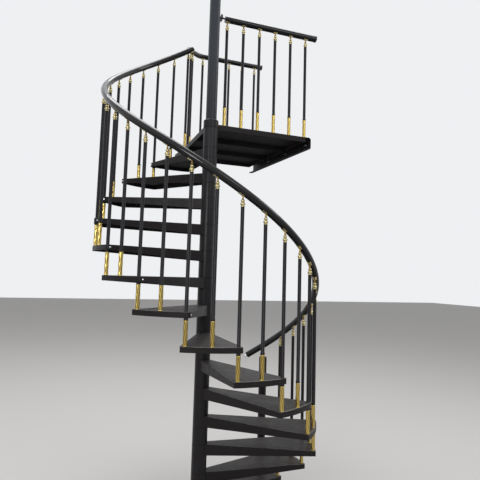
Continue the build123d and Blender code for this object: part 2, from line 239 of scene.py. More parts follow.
# a closed turned form, drawn up ring by ring through (radius, height) pairs
def turnedForm(name, profile, sides):
    restAll()
    radius, height = profile[0]
    bpy.ops.mesh.primitive_circle_add(vertices=sides, radius=radius, location=(0, 0, height))
    piece = bpy.context.object
    piece.name = name
    bpy.ops.object.transform_apply(location=True, rotation=False, scale=False)
    bpy.ops.object.mode_set(mode="EDIT")
    bpy.ops.mesh.select_all(action="SELECT")
    for nextRadius, nextHeight in profile[1:]:
        climb = {"value": (0, 0, nextHeight - height)}
        bpy.ops.mesh.extrude_region_move(TRANSFORM_OT_translate=climb)
        grow = nextRadius / radius
        bpy.ops.transform.resize(value=(grow, grow, 1), center_override=(0, 0, nextHeight))
        radius, height = nextRadius, nextHeight
    closeEnds()
    return piece


def joined(name, parts):
    takeUp(parts[0])
    for part in parts:
        part.select_set(True)
    bpy.ops.object.join()
    piece = bpy.context.object
    piece.name = name
    bpy.ops.object.transform_apply(location=True, rotation=True, scale=True)
    return piece


# copies of the master at these places, each with its own mesh
def setOut(master, places):
    copies = []
    for place in places:
        copy = bpy.data.objects.new(master.name, master.data.copy())
        scene.collection.objects.link(copy)
        copy.matrix_world = place
        copies.append(copy)
    return copies


def smoothed(piece, angle=35):
    takeUp(piece)
    bpy.ops.object.shade_smooth_by_angle(angle=math.radians(angle))


# gives a finished piece its body, its finish and the CAD nodes it stands for
def handedOver(piece, slotName, *nodes):
    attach(piece, "root")
    piece.data.materials.clear()
    piece.data.materials.append(finishes[slotName])
    if nodes:
        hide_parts(*nodes)


# more shader nodes that the effects and the finishes are put together from
def mapNode(nodes, links, value, source, result=(0, 1)):
    node = nodes.new("ShaderNodeMapRange")
    for label, number in zip(("From Min", "From Max", "To Min", "To Max"), (*source, *result)):
        node.inputs[label].default_value = number
    links.new(value, node.inputs["Value"])
    return node.outputs["Result"]


def noiseNode(nodes, links, given, scaleLabel, **settings):
    node = nodes.new("ShaderNodeTexNoise")
    for label, number in settings.items():
        node.inputs[label].default_value = number
    links.new(given.outputs["Vector"], node.inputs["Vector"])
    links.new(given.outputs[scaleLabel], node.inputs["Scale"])
    return node.outputs["Fac"]


# the upright share of a place or a normal
def uprightOf(nodes, links, vector):
    parts = nodes.new("ShaderNodeSeparateXYZ")
    links.new(vector, parts.inputs["Vector"])
    return parts.outputs["Z"]


def blendColours(nodes, links, mask, under, over):
    mix = nodes.new("ShaderNodeMix")
    mix.data_type = "RGBA"
    links.new(mask, mix.inputs["Factor"])
    for socket, colour in ((mix.inputs["A"], under), (mix.inputs["B"], over)):
        if isinstance(colour, tuple):
            socket.default_value = (*colour, 1)
        else:
            links.new(colour, socket)
    return mix.outputs["Result"]


def bumpNode(nodes, links, height, strength, distance):
    bump = nodes.new("ShaderNodeBump")
    bump.inputs["Strength"].default_value = strength
    bump.inputs["Distance"].default_value = distance
    links.new(height, bump.inputs["Height"])
    return bump.outputs["Normal"]


# effects that several finishes share, and where each of them shows
effects = {
    "mottleSpread": (0.3, 0.7),
    "dustTilt": (0.35, 0.95),  # how far up a face looks before dust lies on it
    "dustPatches": (0.3, 0.72),
    "leastDust": 0.35,
    "scuffBreaks": (0.6, 0.72),
    # faces looking down this far get painted shade
    "underShadeTilt": (-0.3, -0.85),
    # rounded edges that get a bright colour: partly wear, partly a painted highlight
    "edgeTilt": 0.65,  # faces that lean halfway, and how far to either side
    "edgeTiltSpread": 0.33,
    "rubPatches": (0.38, 0.58),
    # heights over which the painted sky reflection comes in on the column
    "skySheenHeight": (2.6, 3.5),
    "rimReach": 0.816,  # the last centimetres of the treads, where dirt gathers
    "rimSpread": 0.012,
    "rimTop": 2.85,  # below the landing
}


def newGroup(name, values, outputs):
    group = bpy.data.node_groups.new(name, "ShaderNodeTree")
    group.interface.new_socket("Vector", in_out="INPUT", socket_type="NodeSocketVector")
    for label, value in values.items():
        socket = group.interface.new_socket(label, in_out="INPUT", socket_type="NodeSocketFloat")
        socket.default_value = value
    for label in outputs:
        group.interface.new_socket(label, in_out="OUTPUT", socket_type="NodeSocketFloat")
    nodes = group.nodes
    return group, nodes, group.links, nodes.new("NodeGroupInput"), nodes.new("NodeGroupOutput")


# fine orange-peel height of a powder coat, and a slow mottle over it
def powderTextureGroup():
    group, nodes, links, given, result = newGroup(
        "powderTexture", {"Peel Scale": 700.0, "Mottle Scale": 14.0}, ["Height", "Mottle"]
    )
    peel = noiseNode(nodes, links, given, "Peel Scale", Detail=2)
    mottle = noiseNode(nodes, links, given, "Mottle Scale", Detail=6, Roughness=0.62)
    links.new(peel, result.inputs["Height"])
    links.new(mottle, result.inputs["Mottle"])
    return group


# where dust lies: on faces that look up, in soft patches
def dustFilmGroup():
    group, nodes, links, given, result = newGroup(
        "dustFilm", {"Patch Scale": 9.0, "Amount": 0.5}, ["Mask"]
    )
    surface = nodes.new("ShaderNodeNewGeometry")
    tilt = uprightOf(nodes, links, surface.outputs["Normal"])
    upward = mapNode(nodes, links, tilt, effects["dustTilt"])
    patches = noiseNode(nodes, links, given, "Patch Scale", Detail=8, Roughness=0.7)
    soft = mapNode(nodes, links, patches, effects["dustPatches"], (effects["leastDust"], 1))
    both = mathNode(nodes, links, "MULTIPLY", upward, soft)
    scaled = mathNode(nodes, links, "MULTIPLY", both, given.outputs["Amount"])
    links.new(scaled, result.inputs["Mask"])
    return group


# fine broken scratches where shoes and hands rub
def scuffGroup():
    group, nodes, links, given, result = newGroup(
        "scuffs", {"Scale": 60.0, "Amount": 0.4}, ["Mask"]
    )
    lines = noiseNode(nodes, links, given, "Scale", Detail=9, Roughness=0.78, Distortion=1.4)
    sharp = mapNode(nodes, links, lines, effects["scuffBreaks"])
    scaled = mathNode(nodes, links, "MULTIPLY", sharp, given.outputs["Amount"])
    links.new(scaled, result.inputs["Mask"])
    return group


# faces that look down, which get painted shade, and the narrow rounded edges on top, which get a
# bright colour that is partly metal rubbed bare by feet and partly a painted highlight
def exposureGroup():
    group, nodes, links, given, result = newGroup(
        "exposure", {"Rub Scale": 11.0, "Worn Highlit Amount": 0.5}, ["Sheltered", "Worn And Highlit Edge"]
    )
    surface = nodes.new("ShaderNodeNewGeometry")
    tilt = uprightOf(nodes, links, surface.outputs["True Normal"])
    links.new(mapNode(nodes, links, tilt, effects["underShadeTilt"]), result.inputs["Sheltered"])
    halfway, spread = effects["edgeTilt"], effects["edgeTiltSpread"]
    slanted = mathNode(nodes, links, "COMPARE", tilt, halfway, spread)
    patches = noiseNode(nodes, links, given, "Rub Scale", Detail=5, Roughness=0.6)
    soft = mapNode(nodes, links, patches, effects["rubPatches"])
    both = mathNode(nodes, links, "MULTIPLY", slanted, soft)
    wornHighlit = mathNode(nodes, links, "MULTIPLY", both, given.outputs["Worn Highlit Amount"])
    links.new(wornHighlit, result.inputs["Worn And Highlit Edge"])
    return group


# the pole and the hubs round it, with a painted sky reflection that makes them lighter and bluer
# towards the top, and the treads' outer rims
def columnGroup():
    group, nodes, links, given, result = newGroup(
        "columnBand", {"Radius": 0.0556}, ["Mask", "Sky Sheen", "Outer Rim"]
    )
    height = uprightOf(nodes, links, given.outputs["Vector"])
    level = nodes.new("ShaderNodeVectorMath")
    level.operation = "MULTIPLY"
    level.inputs[1].default_value = (1, 1, 0)
    links.new(given.outputs["Vector"], level.inputs[0])
    length = nodes.new("ShaderNodeVectorMath")
    length.operation = "LENGTH"
    links.new(level.outputs["Vector"], length.inputs[0])
    reach = length.outputs["Value"]
    inside = mathNode(nodes, links, "LESS_THAN", reach, given.outputs["Radius"])
    links.new(inside, result.inputs["Mask"])
    # painted sky reflection: lighter and bluer towards the top
    skySheenRise = mapNode(nodes, links, height, effects["skySheenHeight"])
    links.new(mathNode(nodes, links, "MULTIPLY", inside, skySheenRise), result.inputs["Sky Sheen"])
    rim = mathNode(nodes, links, "COMPARE", reach, effects["rimReach"], effects["rimSpread"])
    low = mathNode(nodes, links, "LESS_THAN", height, effects["rimTop"])
    links.new(mathNode(nodes, links, "MULTIPLY", rim, low), result.inputs["Outer Rim"])
    return group


powderTexture = powderTextureGroup()
dustFilm = dustFilmGroup()
scuffs = scuffGroup()
exposure = exposureGroup()
columnBand = columnGroup()


def newFinish(name):
    material = bpy.data.materials.new(name)
    material.use_nodes = True
    nodes, links = material.node_tree.nodes, material.node_tree.links
    place = nodes.new("ShaderNodeTexCoord")
    return material, nodes, links, nodes["Principled BSDF"], place.outputs["Object"]


def placeGroup(nodes, links, group, where, values=None):
    node = nodes.new("ShaderNodeGroup")
    node.node_tree = group
    links.new(where, node.inputs["Vector"])
    for label, value in (values or {}).items():
        node.inputs[label].default_value = value
    return node


# black powder coat: mottled colour and gloss, orange peel, dust on top, scuffs, painted shade on
# faces that look down, a painted sky reflection up the column, and bright top edges on the treads
# that are partly wear and partly a painted highlight
def coatedSteel(name, coat):
    material, nodes, links, shader, where = newFinish(name)
    powder = placeGroup(nodes, links, powderTexture, where, {"Peel Scale": coat["peelScale"]})
    dust = placeGroup(nodes, links, dustFilm, where, {"Amount": coat["dust"]}).outputs["Mask"]
    scuffValues = {"Scale": coat["scuffScale"], "Amount": coat["scuffs"]}
    scuffed = placeGroup(nodes, links, scuffs, where, scuffValues).outputs["Mask"]
    lying = placeGroup(nodes, links, exposure, where, {"Worn Highlit Amount": coat["wornHighlitEdge"]})
    band = placeGroup(nodes, links, columnBand, where)
    mottle, paintedUnderShade = powder.outputs["Mottle"], lying.outputs["Sheltered"]
    column = band.outputs["Mask"]

    darker = blendColours(nodes, links, column, coat["dark"], coat["columnDark"])
    lighter = blendColours(nodes, links, column, coat["light"], coat["columnLight"])
    mottled = blendColours(nodes, links, mottle, darker, lighter)
    # painted sky reflection: the column lighter and bluer towards the top
    paint = blendColours(nodes, links, band.outputs["Sky Sheen"], mottled, coat["columnSkySheen"])
    # painted shade: faces that look down are darker
    shaded = blendColours(nodes, links, paintedUnderShade, paint, coat["paintedUnderShade"])
    worn = blendColours(nodes, links, scuffed, shaded, coat["scuffColour"])
    dusty = blendColours(nodes, links, dust, worn, coat["dustColour"])
    gathered = mathNode(nodes, links, "MULTIPLY", band.outputs["Outer Rim"], dust)
    thick = mathNode(nodes, links, "MULTIPLY", gathered, coat["rimDust"])
    thick.node.use_clamp = True
    dirty = blendColours(nodes, links, thick, dusty, coat["rimDustColour"])
    wornHighlitTone = blendColours(nodes, links, column, coat["wornHighlitEdgeColour"], coat["columnLight"])
    # bright rounded top edges: partly metal rubbed bare, partly a painted highlight
    wornHighlitEdged = blendColours(nodes, links, lying.outputs["Worn And Highlit Edge"], dirty, wornHighlitTone)
    links.new(wornHighlitEdged, shader.inputs["Base Color"])

    rough, columnChange = coat["roughness"], coat["columnRoughness"] - coat["roughness"]
    glossRange = (rough - coat["glossier"], rough + coat["duller"])
    gloss = mapNode(nodes, links, mottle, effects["mottleSpread"], glossRange)
    matt = mathNode(nodes, links, "MULTIPLY_ADD", dust, coat["dustDuller"], gloss)
    dull = mathNode(nodes, links, "MULTIPLY_ADD", paintedUnderShade, coat["underShadeDuller"], matt)
    settled = mathNode(nodes, links, "MULTIPLY_ADD", column, columnChange, dull)
    links.new(settled, shader.inputs["Roughness"])
    shader.inputs["Specular IOR Level"].default_value = coat["shine"]
    lacquer = mapNode(nodes, links, column, (0, 1), (coat["lacquer"], coat["columnLacquer"]))
    kept = mapNode(nodes, links, paintedUnderShade, (0, 1), (1, coat["underShadeLacquer"]))
    links.new(mathNode(nodes, links, "MULTIPLY", lacquer, kept), shader.inputs["Coat Weight"])
    shader.inputs["Coat Roughness"].default_value = coat["lacquerRoughness"]
    peel = bumpNode(nodes, links, powder.outputs["Height"], coat["peel"], coat["peelDepth"])
    links.new(peel, shader.inputs["Normal"])
    return material


# bright gilt lacquer, patchy in tone, and darker in the hollows, which is partly tarnish and partly
# painted shade
def giltMetal(name, gilt):
    material, nodes, links, shader, where = newFinish(name)
    scales = {"Peel Scale": gilt["grainScale"], "Mottle Scale": gilt["patchScale"]}
    powder = placeGroup(nodes, links, powderTexture, where, scales)
    hollow = nodes.new("ShaderNodeAttribute")
    hollow.attribute_name = "hollow"
    patchy = blendColours(nodes, links, powder.outputs["Mottle"], gilt["pale"], gilt["deep"])
    # darker in the hollows: partly tarnish, partly painted shade
    shaded = blendColours(nodes, links, hollow.outputs["Fac"], patchy, gilt["tarnishAndShade"])
    links.new(shaded, shader.inputs["Base Color"])
    shader.inputs["Metallic"].default_value = 1
    glossRange = (gilt["roughness"] - gilt["glossier"], gilt["roughness"] + gilt["duller"])
    gloss = mapNode(nodes, links, powder.outputs["Mottle"], effects["mottleSpread"], glossRange)
    links.new(gloss, shader.inputs["Roughness"])
    grain = bumpNode(nodes, links, powder.outputs["Height"], gilt["grain"], gilt["grainDepth"])
    links.new(grain, shader.inputs["Normal"])
    return material


def brightSteel(name, steel):
    material, nodes, links, shader, where = newFinish(name)
    scuffValues = {"Scale": steel["scuffScale"], "Amount": steel["scuffs"]}
    scuffed = placeGroup(nodes, links, scuffs, where, scuffValues).outputs["Mask"]
    colour = blendColours(nodes, links, scuffed, steel["colour"], steel["scuffColour"])
    links.new(colour, shader.inputs["Base Color"])
    shader.inputs["Metallic"].default_value = 1
    glossRange = (steel["roughness"], steel["roughness"] + steel["duller"])
    gloss = mapNode(nodes, links, scuffed, (0, 1), glossRange)
    links.new(gloss, shader.inputs["Roughness"])
    return material


postCoat = {
    "dark": (0.0092, 0.0079, 0.0096),
    "light": (0.0165, 0.0144, 0.0172),
    "columnDark": (0.0092, 0.0079, 0.0096),
    "columnLight": (0.0165, 0.0144, 0.0172),
    # painted sky reflection on the upper column
    "columnSkySheen": (0.045, 0.051, 0.062),
    "columnRoughness": 0.4,
    "columnLacquer": 0.16,
    # painted shade on faces that look down
    "paintedUnderShade": (0.006, 0.0058, 0.0065),
    "dust": 0.22,
    "dustColour": (0.16, 0.145, 0.125),
    "rimDust": 0,
    "rimDustColour": (0.26, 0.235, 0.205),
    "scuffs": 0.25,
    "scuffScale": 45.0,
    "scuffColour": (0.06, 0.058, 0.056),
    # bright rounded top edges: partly bare worn metal, partly a painted highlight
    "wornHighlitEdge": 0.0,
    "wornHighlitEdgeColour": (0.55, 0.53, 0.5),
    "roughness": 0.4,
    "shine": 0.14,
    "lacquer": 0.16,
    "lacquerRoughness": 0.22,
    "underShadeLacquer": 0.2,  # share of the lacquer's shine that is left there
    "glossier": 0.06,
    "duller": 0.08,
    "dustDuller": 0.5,
    "underShadeDuller": 0.3,
    "peel": 0.1,
    "peelScale": 520.0,
    "peelDepth": 0.0004,
}
# the treads get the bright top edges: partly wear, partly a painted highlight
treadCoat = dict(
    postCoat, dark=(0.0115, 0.0095, 0.0106), light=(0.0195, 0.0162, 0.0177), rimDust=3.2,
    scuffs=0.5, scuffScale=26.0, wornHighlitEdge=1.0, roughness=0.46, lacquer=0.03,
)
railCoat = dict(
    postCoat, dark=(0.006, 0.006, 0.007), light=(0.011, 0.0105, 0.012), dust=0.05, scuffs=0.15,
    roughness=0.22, shine=0.06, lacquer=0.6, lacquerRoughness=0.04, peel=0.03,
)
sleeveGilt = {
    "pale": (0.9, 0.75, 0.26),
    "deep": (0.72, 0.53, 0.14),
    # darker colour in the hollows: partly tarnish, partly painted shade
    "tarnishAndShade": (0.27, 0.17, 0.04),
    "roughness": 0.19,
    "grain": 0.04,
    "grainScale": 420.0,
    "grainDepth": 0.0003,
    "patchScale": 38.0,
    "glossier": 0.05,
    "duller": 0.08,
}
headGilt = dict(sleeveGilt, pale=(0.66, 0.59, 0.35), deep=(0.53, 0.45, 0.21), patchScale=60.0)
steelBright = {
    "colour": (0.82, 0.82, 0.83),
    "scuffColour": (0.45, 0.44, 0.43),
    "scuffScale": 220.0,
    "scuffs": 0.6,
    "roughness": 0.14,
    "duller": 0.2,
}
zincDull = dict(
    steelBright, colour=(0.3, 0.3, 0.31), scuffColour=(0.16, 0.155, 0.15), scuffScale=160.0,
    roughness=0.4,
)
finishes = {
    "black_post": coatedSteel("satinBlackCoat", postCoat),
    "black_tread": coatedSteel("treadBlackCoat", treadCoat),
    "black_rail": coatedSteel("glossBlackCoat", railCoat),
    "gold_sleeve": giltMetal("giltSleeve", sleeveGilt),
    "gold_connector": giltMetal("giltHead", headGilt),
    "bright_cap": brightSteel("brightSteel", steelBright),
    "zinc": brightSteel("dullZinc", zincDull),
}
print("finishes made:", len(finishes))


# steelwork: copies of the CAD solids with their edges rounded off
softening = {
    "treads": 0.0022,
    "landing": 0.0016,
    "posts": 0.001,
    "rails": 0.0006,
    "segments": 2,
    "weld": 0.00002,
    "flatness": 0.6,  # degrees within which two faces are one
    "sharpAngle": 42,  # degrees between two faces
    "smoothAngle": 38,
    "columnReach": 0.056,  # inside this hubs and spacers stay sharp and close up with no line
}


# marks the sharp edges that are rounded off
def markEdges(piece):
    takeUp(piece)
    bpy.ops.object.mode_set(mode="EDIT")
    shape = bmesh.from_edit_mesh(piece.data)
    share = shape.edges.layers.float.new("bevel_weight_edge")
    for edge in shape.edges:
        if edge.is_manifold and edge.calc_face_angle() > math.radians(softening["sharpAngle"]):
            reach = max(math.hypot(vertex.co.x, vertex.co.y) for vertex in edge.verts)
            edge[share] = 0 if reach < softening["columnReach"] else 1
    bmesh.update_edit_mesh(piece.data)
    bpy.ops.object.mode_set(mode="OBJECT")


# reshape works on the bare copy before its edges are rounded
def softenedCopy(nodeName, pieceName, edge, reshape=None):
    piece = bpy.data.objects.new(pieceName, frame["nodes"][nodeName].data.copy())
    scene.collection.objects.link(piece)
    takeUp(piece)
    bpy.ops.object.mode_set(mode="EDIT")
    bpy.ops.mesh.select_all(action="SELECT")
    bpy.ops.mesh.remove_doubles(threshold=softening["weld"])
    bpy.ops.mesh.dissolve_limited(angle_limit=math.radians(softening["flatness"]))
    bpy.ops.object.mode_set(mode="OBJECT")
    rounding = piece.modifiers.new("roundedEdges", "BEVEL")
    rounding.width = edge
    rounding.segments = softening["segments"]
    if reshape:
        reshape(piece)
        markEdges(piece)
        rounding.limit_method = "WEIGHT"
    else:
        rounding.limit_method = "ANGLE"
        rounding.angle_limit = math.radians(softening["sharpAngle"])
    bpy.ops.object.modifier_apply(modifier=rounding.name)
    smoothed(piece, softening["smoothAngle"])
    if slotOf[nodeName] != "black_rail":  # flat faces stay flat between their rounded edges
        evened = piece.modifiers.new("evenShading", "WEIGHTED_NORMAL")
        evened.keep_sharp = True
        bpy.ops.object.modifier_apply(modifier=evened.name)
    handedOver(piece, slotOf[nodeName], nodeName)


# the long rims of a tread grow deeper towards the column, and its hub is as deep as they are there
deepRim = {
    "plainFrom": 0.79,  # distance from the axis beyond which a rim has its plain depth
    "growth": 0.056,  # metres deeper for each metre nearer the column
    "hubDepth": 0.04,
    "hubExtra": 0.038,
    "closeness": 0.0003,  # how near a point lies to the depth it belongs to
    "spacerCloseness": 0.003,
}


def deepenRims(piece):
    takeUp(piece)
    bpy.ops.object.mode_set(mode="EDIT")
    bpy.ops.mesh.select_mode(type="FACE")
    bpy.ops.mesh.select_all(action="DESELECT")
    shape = bmesh.from_edit_mesh(piece.data)
    top = max(vertex.co.z for vertex in shape.verts)
    rimHeight, near = top - stair["rimDepth"], deepRim["closeness"]
    for face in shape.faces:  # the rims' lower faces, split so that each half stays flat
        face.select_set(all(abs(vertex.co.z - rimHeight) < near for vertex in face.verts))
    bmesh.update_edit_mesh(piece.data)
    bpy.ops.mesh.quads_convert_to_tris()
    shape = bmesh.from_edit_mesh(piece.data)
    for vertex in shape.verts:
        if abs(vertex.co.z - rimHeight) < near:
            reach = math.hypot(vertex.co.x, vertex.co.y)
            vertex.co.z -= deepRim["growth"] * max(deepRim["plainFrom"] - reach, 0)
        elif abs(top - deepRim["hubDepth"] - vertex.co.z) < near:
            vertex.co.z -= deepRim["hubExtra"]
    bmesh.update_edit_mesh(piece.data)
    bpy.ops.mesh.select_mode(type="VERT")
    bpy.ops.object.mode_set(mode="OBJECT")


# the spacers end lower too, under the deeper hubs
def lowerSpacerTops(piece):
    seats = [stair["rise"] * number - deepRim["hubDepth"] for number in treadNumbers]
    for vertex in piece.data.vertices:
        if min(abs(vertex.co.z - seat) for seat in seats) < deepRim["spacerCloseness"]:
            vertex.co.z -= deepRim["hubExtra"]


treadNumbers = range(1, stair["treads"] + 1)
for number in treadNumbers:
    softenedCopy(
        f"tread_{number:02d}", f"foldedTread{number:02d}", softening["treads"], deepenRims
    )
for panelName in ("near", "middle", "far"):
    softenedCopy(f"landing_panel_{panelName}", f"{panelName}LandingPan", softening["landing"])
softenedCopy("landing_wall_beam", "wallBeam", softening["landing"])
for nodeName, pieceName in (
    ("base_flange", "footPlate"),
    ("centre_pole", "centrePole"),
    ("pole_cap", "poleCap"),
    ("landing_hub", "landingCollar"),
    ("start_newel", "startPost"),
    ("pole_bracket", "railBracket"),
):
    softenedCopy(nodeName, pieceName, softening["posts"])
softenedCopy("column_spacers", "spacerTubes", softening["posts"], lowerSpacerTops)
for nodeName, pieceName in (
    ("handrail_lower", "lowerHandrail"),
    ("handrail_middle", "middleHandrail"),
    ("handrail_upper", "upperHandrail"),
    ("far_rail", "farRail"),
    ("near_rail", "nearRail"),
):
    softenedCopy(nodeName, pieceName, softening["rails"])
print("steelwork softened")

# where the balusters stand
guards = {
    "spacing": 0.1415,
    "nearLine": 0.04,
    "nearFirst": 0.12,
    "nearCount": 6,
    "nearRailHeight": 0.845,
    "farLine": 1.13,
    "farFirst": 0.278,
    "farCount": 5,
    "farRailHeight": 1.0,
    "farTurn": 0.24,  # where the far rail turns towards the stair
    "sideSetback": (0.004, 0.107),  # from the last baluster of the stair
    "sideRailHeight": 0.938,
    "cornerShare": 0.37,
}


# x, y, rail height and heading of the balusters in a level guard
def levelPosts(side):
    first, line, height = (guards[side + label] for label in ("First", "Line", "RailHeight"))
    indices = range(guards[side + "Count"])
    return [(first + guards["spacing"] * index, line, height, 0) for index in indices]


flights = {
    "lower": range(2, 11),
    "middle": range(11, 20),
    "upper": range(20, stair["lastBaluster"] + 1),
}
lastPlace = onCircle(stair["circle"], stair["landingAngle"], 0)
sidePost = lastPlace + Vector((*guards["sideSetback"], guards["sideRailHeight"]))
turnPost = Vector((guards["farTurn"], guards["farLine"], guards["farRailHeight"]))
cornerPost = sidePost.lerp(turnPost, guards["cornerShare"])
diagonal = math.degrees(math.atan2(turnPost.y - sidePost.y, turnPost.x - sidePost.x))
nearPosts = levelPosts("near")
farPosts = [(*sidePost, diagonal), (*cornerPost, diagonal), *levelPosts("far")]
landingPosts = nearPosts + farPosts


def treadUnder(index):
    return stair["rise"] * ((index + 1) // 2)


def footPlace(index):
    angle = balusterAngle(index)
    return standing(onCircle(stair["circle"], angle, treadUnder(index)), angle - 90)


def headPlace(index):
    angle = balusterAngle(index)
    height = railUnderside(index) - stair["headHeight"]
    return standing(onCircle(stair["circle"], angle, height), angle - 90)


# balusters: round bar with a collar above the gilt sleeve
baluster = {"radius": 0.0115, "collar": 0.0135, "edge": 0.001, "sides": 24}


def balusterForm(length):
    bar, wide, edge = baluster["radius"], baluster["collar"], baluster["edge"]
    low = stair["sleeveHeight"]
    high = low + stair["collarHeight"]
    profile = [
        (bar - edge, 0), (bar, edge), (bar, low), (wide - edge, low), (wide, low + edge),
        (wide, high - 2 * edge), (wide - edge, high - edge / 2), (bar + edge / 2, high),
        (bar, high + edge), (bar, length - edge), (bar - edge, length),
    ]
    return turnedForm("balusterBar", profile, baluster["sides"])


# each of the places is a matrix and a length
def setOutBalusters(pieceName, nodeName, places):
    parts = []
    for length in sorted({round(length, 5) for matrix, length in places}):
        master = balusterForm(length)
        parts += setOut(master, [matrix for matrix, own in places if round(own, 5) == length])
        bpy.data.objects.remove(master)
    piece = joined(pieceName, parts)
    smoothed(piece)
    handedOver(piece, "black_post", nodeName)


for flight, indices in flights.items():
    places = []
    for index in indices:
        length = railUnderside(index) - treadUnder(index) - stair["headHeight"]
        places.append((footPlace(index), length))
    setOutBalusters(flight + "Balusters", "balusters_" + flight, places)
for guard, posts in (("near", nearPosts), ("far", farPosts)):
    places = [
        (standing((x, y, stair["landingTop"]), 0), height - stair["headHeight"])
        for x, y, height, heading in posts
    ]
    setOutBalusters(guard + "Balusters", "balusters_" + guard, places)
print("balusters set out")

# gilt sleeves: six flats twisted as they rise, with a plain ring at each end
sleeve = {
    "ridge": 0.0139,
    "flat": 0.0131,  # from the axis to the middle of a flat
    "softness": 14,  # the higher, the crisper the edges between the flats
    "flats": 6,
    "sides": 48,
    "twist": 150,
    "steps": 18,
    "ring": 0.004,
    "ringEdge": 0.001,
    "seat": 0.8,  # share of a ring's height where the flats begin
    "flatMargin": 0.0006,  # keeps the flats' middle short of full darkening, which is partly tarnish and partly painted shade
    "smoothAngle": 50,  # of the heads too
}


def twistedSleeve():
    restAll()
    low, ridge, softness = sleeve["ring"] * sleeve["seat"], sleeve["ridge"], sleeve["softness"]
    bpy.ops.mesh.primitive_circle_add(vertices=sleeve["sides"], radius=ridge, location=(0, 0, low))
    piece = bpy.context.object
    bpy.ops.object.transform_apply(location=True, rotation=False, scale=False)
    bpy.ops.object.mode_set(mode="EDIT")
    shape = bmesh.from_edit_mesh(piece.data)
    share = math.pi / sleeve["flats"]
    for vertex in shape.verts:  # press the flats into the first ring, with rounded edges between
        turn = math.atan2(vertex.co.y, vertex.co.x) % (2 * share) - share
        reach = sleeve["flat"] / math.cos(turn)
        rounded = (reach**-softness + ridge**-softness) ** (-1 / softness)
        vertex.co.x *= rounded / ridge
        vertex.co.y *= rounded / ridge
    bmesh.update_edit_mesh(piece.data)
    bpy.ops.mesh.select_all(action="SELECT")
    climb = (stair["sleeveHeight"] - 2 * low) / sleeve["steps"]
    turnStep = math.radians(sleeve["twist"] / sleeve["steps"])
    for step in range(sleeve["steps"]):
        bpy.ops.mesh.extrude_region_move(TRANSFORM_OT_translate={"value": (0, 0, climb)})
        bpy.ops.transform.rotate(value=turnStep, orient_axis="Z", center_override=(0, 0, 0))
    closeEnds()
    markHollows(piece, sleeve["flat"] - sleeve["flatMargin"], ridge)
    ring, edge = sleeve["ring"], sleeve["ringEdge"]
    narrow, ends = ridge - edge, []
    for base in (0, stair["sleeveHeight"] - ring):
        top = base + ring
        rings = [(narrow, base), (ridge, base + edge), (ridge, top - edge), (narrow, top)]
        ends.append(turnedForm("sleeveRing", rings, sleeve["sides"]))
        markHollows(ends[-1])
    return joined("twistedSleeve", [piece, *ends])


# stores how deep each point lies between a groove and a ridge, for the darkening that is partly
# tarnish and partly painted shade: 0 on plain parts
def markHollows(piece, deep=0, proud=0.001):
    hollow = piece.data.attributes.new("hollow", "FLOAT", "POINT")
    for vertex in piece.data.vertices:
        reach = math.hypot(vertex.co.x, vertex.co.y)
        share = (proud - reach) / (proud - deep)
        hollow.data[vertex.index].value = min(max(share, 0), 1)


def setOutGilt(master, pieceName, slotName, nodeName, places):
    piece = joined(pieceName, setOut(master, places))
    smoothed(piece, sleeve["smoothAngle"])
    handedOver(piece, slotName, nodeName)


sleeveMaster = twistedSleeve()
for flight, indices in flights.items():
    places = [footPlace(index) for index in indices]
    setOutGilt(sleeveMaster, flight + "Sleeves", "gold_sleeve", "sleeves_" + flight, places)
places = [standing((x, y, stair["landingTop"]), heading) for x, y, height, heading in landingPosts]
setOutGilt(sleeveMaster, "landingSleeves", "gold_sleeve", "sleeves_landing", places)
bpy.data.objects.remove(sleeveMaster)
print("sleeves twisted")

# gilt heads: foot, large ball, small ball and pin, with a saddle that hugs the rail
head = {
    "profile": [  # radius and height in millimetres
        (12.4, 0), (13, 0.8), (13, 3.6), (12.2, 4.6), (10.2, 5.4), (9.8, 7.2), (10.6, 8.4),
        (13.2, 10.2), (15, 13.2), (15.5, 16.4), (15, 19.6), (13.2, 22.8), (10.4, 25.2),
        (8.2, 26.6), (7.8, 28.2), (8.6, 29.4), (10.4, 31.2), (11.3, 33.8), (11.5, 36.4),
        (11.1, 39), (9.6, 41.6), (7.4, 43.6), (6, 45), (6.6, 46.4), (6.6, 48), (5.2, 49.4),
        (5, 52), (5, 66.5),
    ],
    "tarnishShadeReach": (0.006, 0.012),  # reach where the darkening, partly tarnish and partly painted shade, is full, and where it ends
    "sides": 24,
    "saddleLength": 0.0355,
    "saddleThickness": 0.0027,
    "saddleSpread": 31,  # degrees each way round the rail
    "saddleSides": 72,
    "saddleEdge": 0.0009,
    "saddleSharp": 40,
}


